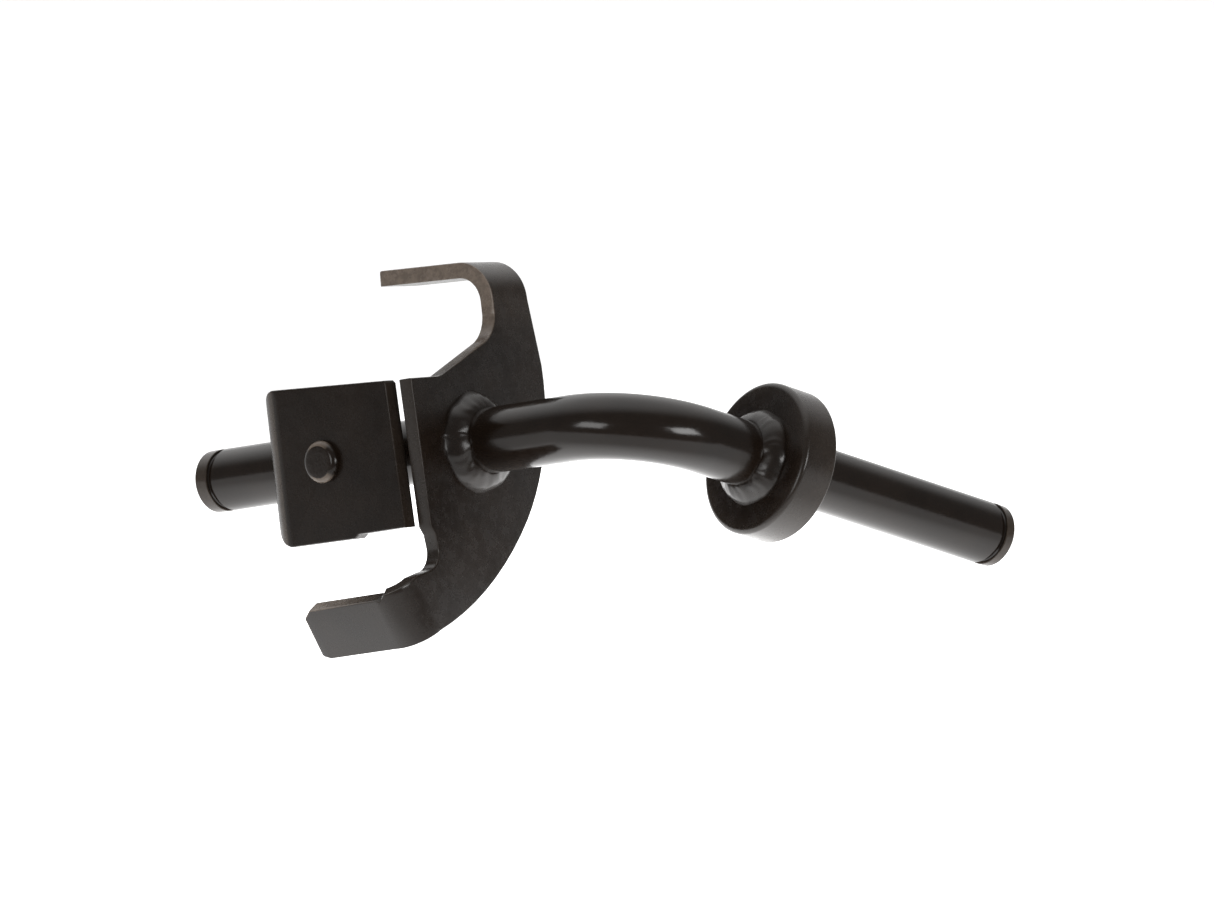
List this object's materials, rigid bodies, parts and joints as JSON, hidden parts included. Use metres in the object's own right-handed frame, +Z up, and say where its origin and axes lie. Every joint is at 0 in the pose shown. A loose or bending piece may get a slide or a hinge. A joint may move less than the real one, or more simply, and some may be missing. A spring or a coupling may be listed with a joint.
{
  "type": "steering spindle",
  "caption": "Bent round-bar stub axle with a welded fork plate, an angle bracket, a thrust collar and snap-ring grooves at both ends.",
  "frame": {"origin": "centre of the bounding box in plan, on the bench surface it stands on", "axes": "+Z up as it lies on a bench on both shaft ends and the lower finger, +X from the kingpin end towards the wheel end, +Y away from the side with the bend"},
  "size_m": [0.2492, 0.1218, 0.0904],
  "materials": {
    "bar_paint": "semi-gloss black paint on round bar, journals turned 0.35 mm under the rest",
    "plate_paint": "semi-gloss black paint on sheet",
    "bracket_paint": "semi-gloss black paint on sheet",
    "button_paint": "gloss black paint",
    "collar_paint": "semi-gloss black paint, sheared rim",
    "weld_paint": "gloss black paint over rippled weld"
  },
  "bodies": {
    "root": {"spindle_bar": "bar_paint", "fork_plate": "plate_paint", "angle_bracket": "bracket_paint", "web_button": "button_paint", "thrust_collar": "collar_paint", "collar_weld": "weld_paint", "fork_weld_upper": "weld_paint", "fork_weld_lower": "weld_paint", "flange_weld": "weld_paint"}
  },
  "joints": []
}
